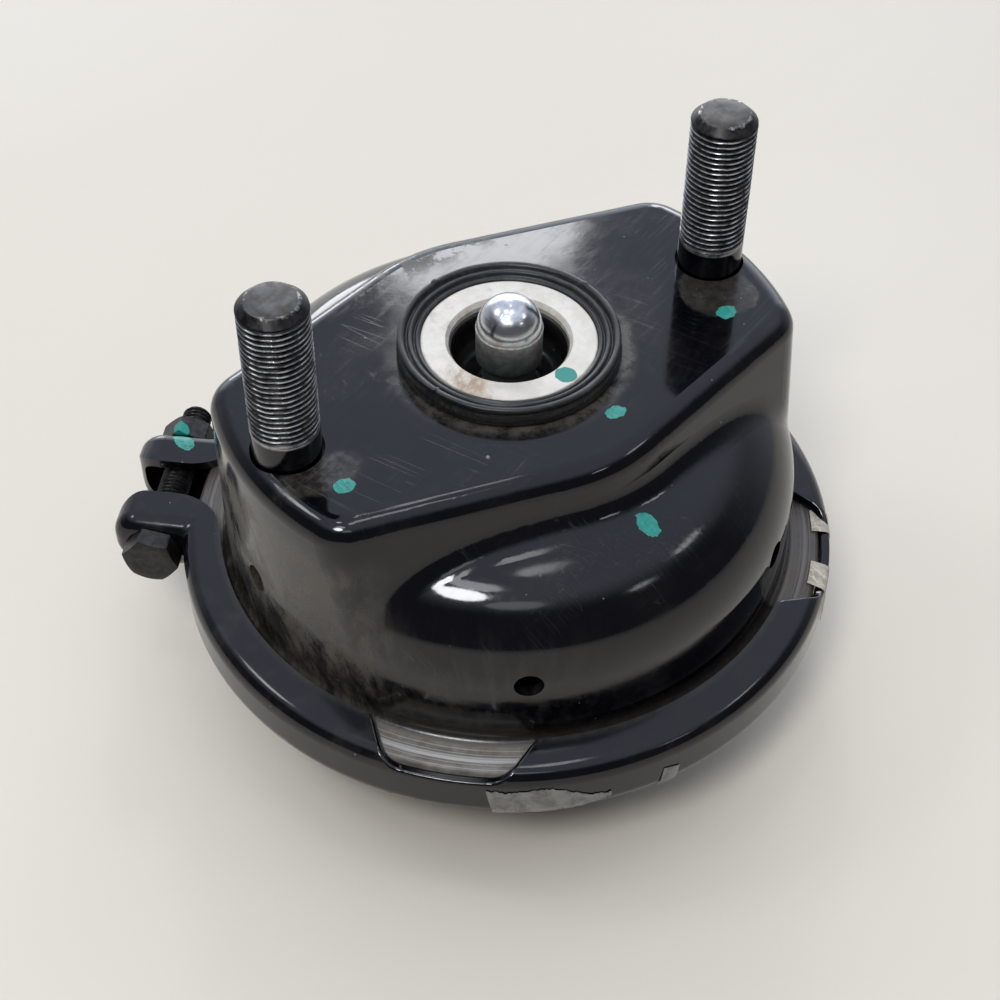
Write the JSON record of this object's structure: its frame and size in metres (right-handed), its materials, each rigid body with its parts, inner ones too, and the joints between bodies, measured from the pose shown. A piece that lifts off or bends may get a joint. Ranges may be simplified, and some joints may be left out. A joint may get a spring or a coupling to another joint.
{
  "type": "air brake chamber",
  "caption": "Single diaphragm air brake chamber for a disc brake: pressed housings held by a one-piece clamp band, studs on a lens-shaped face, face seal and domed push rod.",
  "frame": {"origin": "centre of the mounting face, on the push rod's axis", "axes": "+Z out of the mounting face along the push rod's stroke; +X from the middle of the face to the right-hand stud; +Y across the face, towards the side with the air port"},
  "size_m": [0.1726, 0.1694, 0.1458],
  "materials": {
    "black_enamel": "glossy black enamel",
    "band_enamel": "semi-gloss black enamel",
    "dark_fastener": "dark phosphated steel",
    "plain_steel": "plain steel",
    "zinc_steel": "bright zinc plate",
    "spring_steel": "oiled spring steel",
    "ivory_plastic": "ivory moulded plastic",
    "black_rubber": "matt black rubber"
  },
  "bodies": {
    "chamber": {"front_housing": "black_enamel", "rear_housing": "black_enamel", "port_boss": "black_enamel", "clamp_band": "band_enamel", "clamp_bolt": "dark_fastener", "clamp_nut": "dark_fastener", "left_stud": "dark_fastener", "right_stud": "dark_fastener", "stud_plate": "plain_steel", "guide_ring": "ivory_plastic", "seal_ring": "black_rubber", "boot": "black_rubber", "return_spring": "spring_steel", "diaphragm": "black_rubber"},
    "rod": {"push_rod": "plain_steel", "rod_head": "zinc_steel", "push_plate": "plain_steel"}
  },
  "joints": [
    {"name": "rod_stroke", "type": "slide", "parent": "chamber", "child": "rod", "axis": [0, 0, 1], "range_m": [0, 0.057], "stiffness_N_per_m": 2000, "springref_m": -0.05, "deforming": ["return_spring", "diaphragm", "boot"]}
  ]
}
